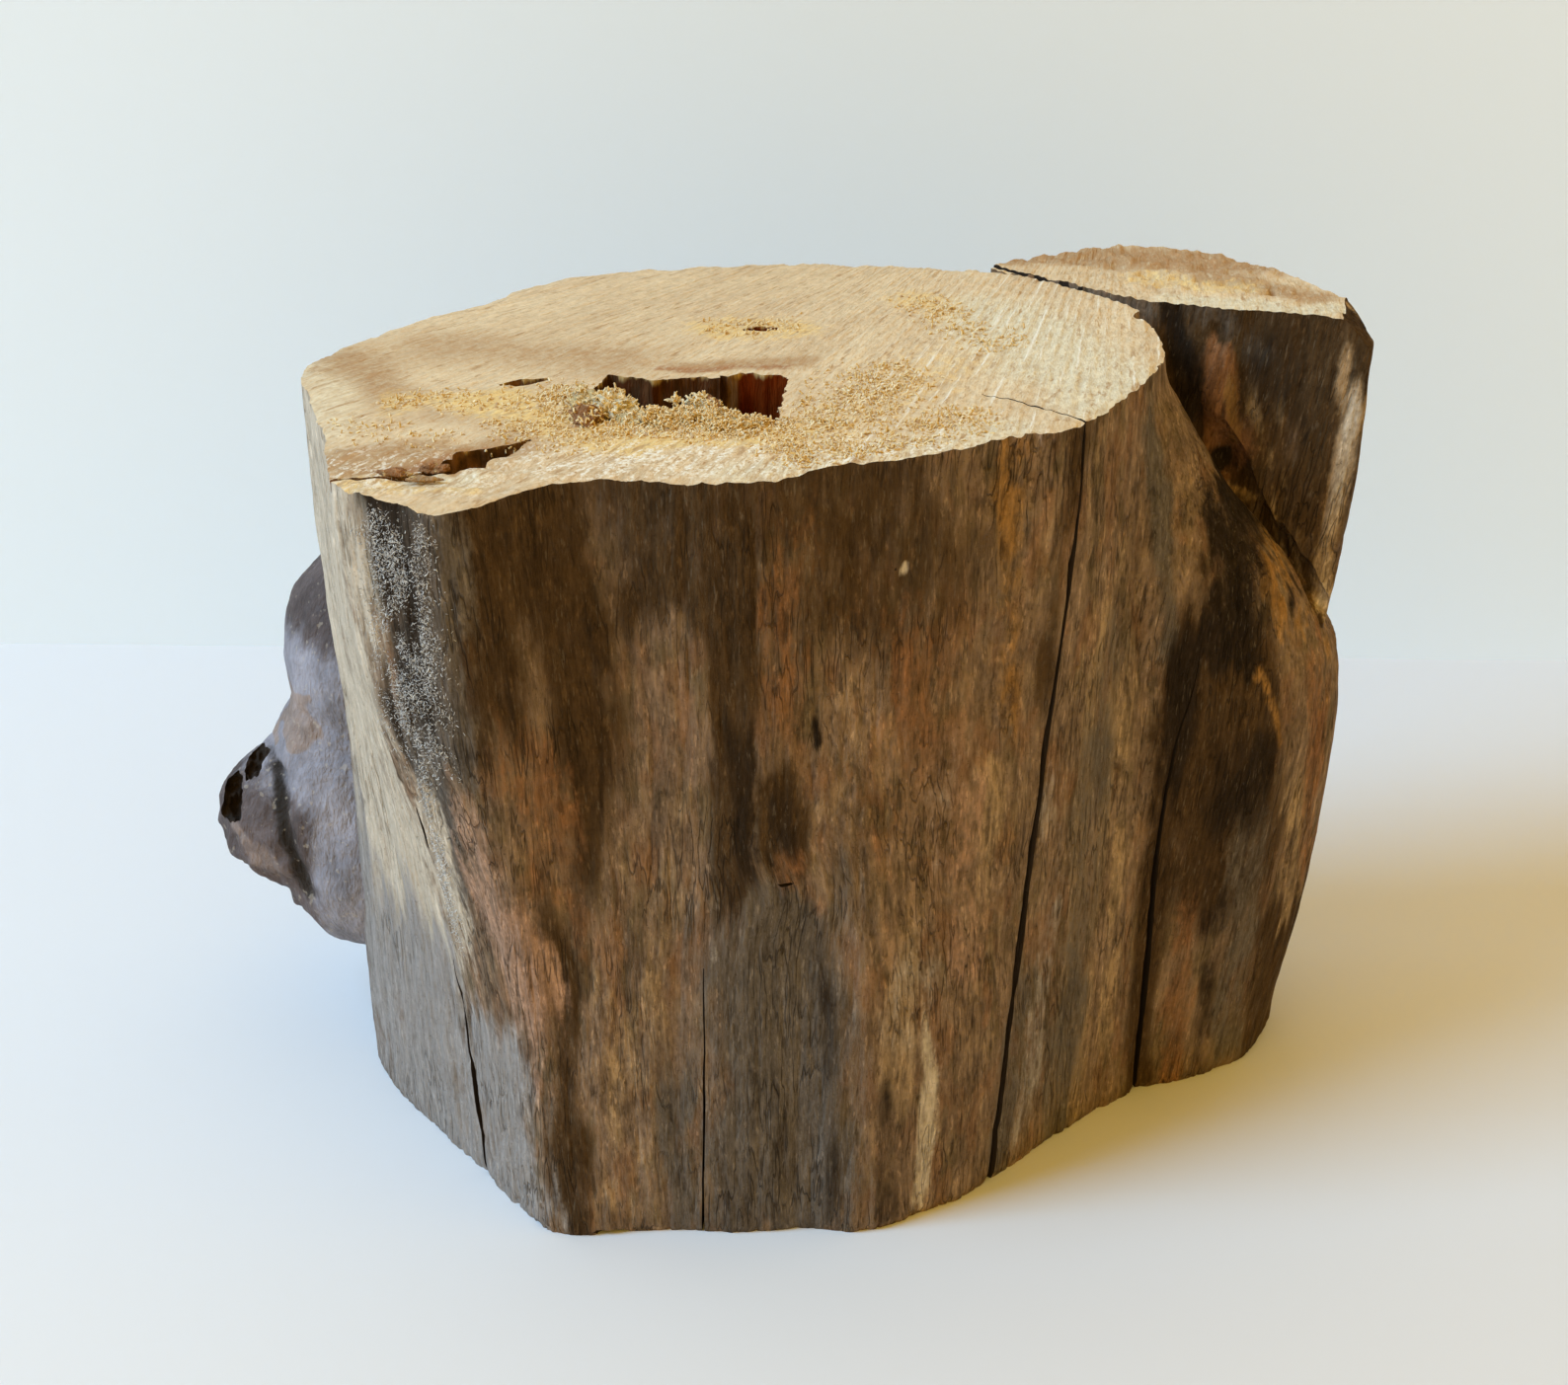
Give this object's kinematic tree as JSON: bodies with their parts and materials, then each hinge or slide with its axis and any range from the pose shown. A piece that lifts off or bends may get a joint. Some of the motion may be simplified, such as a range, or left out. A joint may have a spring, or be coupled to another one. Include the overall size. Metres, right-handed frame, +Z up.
{
  "type": "maple log",
  "caption": "Short weathered log of a forked maple, sawn flat at both ends, with a burl, a rot pocket in the top and drying cracks. Stands on its sawn foot as a prop or block.",
  "frame": {"origin": "on the flat sawn foot, under the middle of the main stem's top", "axes": "+Z up along the grain, +X towards the second stem along the log's longest width, -Y towards the front of the picture"},
  "size_m": [0.2704, 0.1506, 0.185],
  "materials": {
    "weathered_maple": "bare weathered wood, brown and grey, with a pale sawn top"
  },
  "bodies": {
    "root": {"log": "weathered_maple"}
  },
  "joints": []
}
